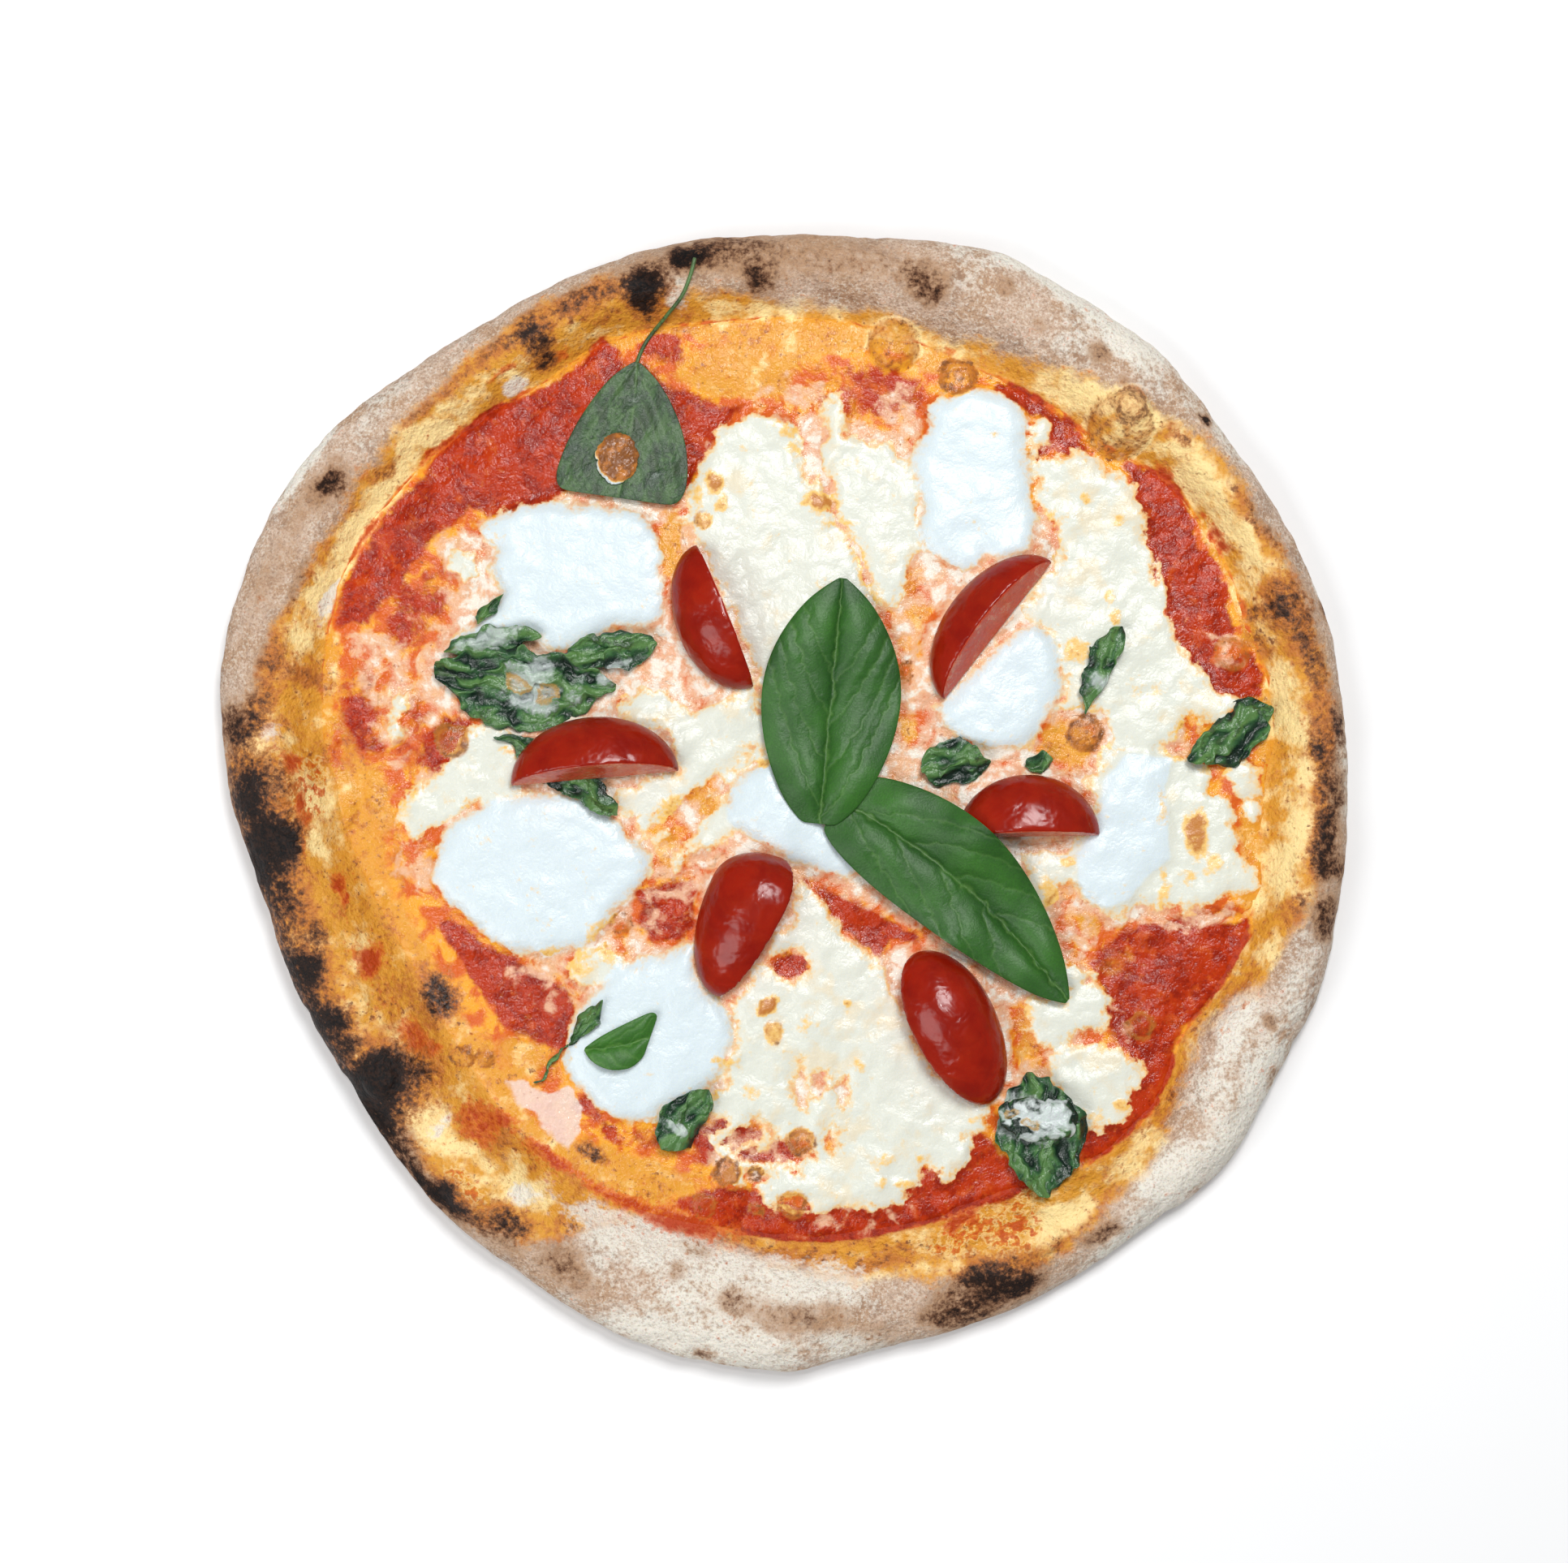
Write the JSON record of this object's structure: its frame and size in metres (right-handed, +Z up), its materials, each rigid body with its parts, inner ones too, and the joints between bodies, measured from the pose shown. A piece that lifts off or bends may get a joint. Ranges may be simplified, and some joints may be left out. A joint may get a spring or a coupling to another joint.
{
  "type": "margherita pizza",
  "caption": "Round oven-baked margherita pizza with a puffy charred rim, tomato sauce, melted mozzarella, tomato wedges and basil leaves.",
  "frame": {"origin": "on the surface the pizza lies on, under the middle of its outline", "axes": "+Z up through the toppings; +X and +Y in the plane of the base, with the three charred marks by -X"},
  "size_m": [0.3135, 0.316, 0.0214],
  "materials": {
    "crust": "matt baked dough, floury and charred in places",
    "sauce": "wet tomato sauce with oil",
    "mozzarella": "melted cheese, soft gloss",
    "toasted_cheese": "toasted cheese bubble",
    "tomato": "wet, glossy tomato skin",
    "fresh_basil": "fresh leaf, soft sheen",
    "baked_basil": "wilted, oily leaf"
  },
  "bodies": {
    "root": {"baked_basil_bottom": "baked_basil", "baked_basil_bottom_left": "baked_basil", "baked_basil_by_left_cheese": "baked_basil", "baked_basil_by_right_tomato": "baked_basil", "baked_basil_far_right": "baked_basil", "baked_basil_left_big": "baked_basil", "baked_basil_left_small": "baked_basil", "baked_basil_left_upper": "baked_basil", "baked_basil_lower_right": "baked_basil", "baked_basil_middle_right": "baked_basil", "baked_basil_right_small": "baked_basil", "baked_basil_top_left": "baked_basil", "baked_basil_under_tomato": "baked_basil", "crust": "crust", "fresh_basil_lower": "fresh_basil", "fresh_basil_small": "fresh_basil", "fresh_basil_upper": "fresh_basil", "mozzarella_bottom": "mozzarella", "mozzarella_bottom_left": "mozzarella", "mozzarella_drop_lower_right": "mozzarella", "mozzarella_drop_on_leaf": "toasted_cheese", "mozzarella_far_right": "mozzarella", "mozzarella_left": "mozzarella", "mozzarella_lower_left": "mozzarella", "mozzarella_lower_right": "mozzarella", "mozzarella_lower_right_lobe": "mozzarella", "mozzarella_middle": "mozzarella", "mozzarella_middle_left": "mozzarella", "mozzarella_middle_right": "mozzarella", "mozzarella_right": "mozzarella", "mozzarella_top": "mozzarella", "mozzarella_top_lobe": "mozzarella", "mozzarella_upper_left": "mozzarella", "mozzarella_upper_right": "mozzarella", "tomato_far_right": "tomato", "tomato_left": "tomato", "tomato_lower": "tomato", "tomato_lower_right": "tomato", "tomato_right": "tomato", "tomato_sauce": "sauce", "tomato_upper": "tomato"}
  },
  "joints": []
}
